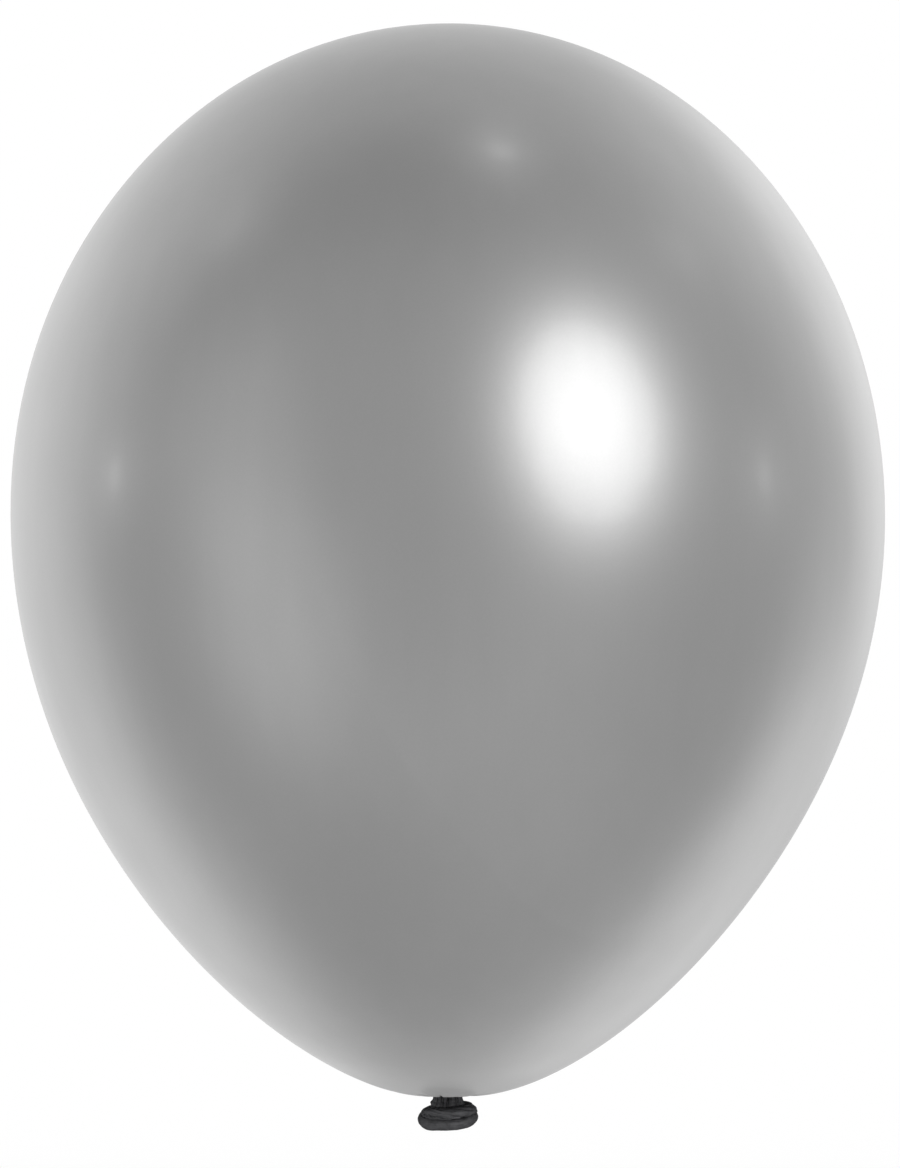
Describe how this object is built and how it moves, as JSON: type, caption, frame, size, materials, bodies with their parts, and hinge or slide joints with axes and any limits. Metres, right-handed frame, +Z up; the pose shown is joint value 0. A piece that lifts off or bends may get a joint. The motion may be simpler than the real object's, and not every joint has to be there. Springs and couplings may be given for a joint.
{
  "type": "latex party balloon",
  "caption": "Round party balloon of pearly silver latex, blown up tight and tied: thin envelope, gathered neck, overhand knot, short flared tail and rolled lip.",
  "frame": {"origin": "on the balloon's axis at the tie, the narrow part of the neck between the envelope and the knot", "axes": "+Z up along the balloon's axis from the knot to the crown, -Y the side that faces the picture's camera, +X to its right"},
  "size_m": [0.3, 0.3, 0.3795],
  "materials": {
    "stretched_latex": "silver pearl pigment in stretched latex, glossy and metallic",
    "gathered_latex": "the same pigment packed dense in slack latex, dark grey and satin"
  },
  "bodies": {
    "root": {"envelope": "stretched_latex", "neck": "gathered_latex", "knot": "gathered_latex", "tail": "gathered_latex", "lip": "gathered_latex"}
  },
  "joints": []
}
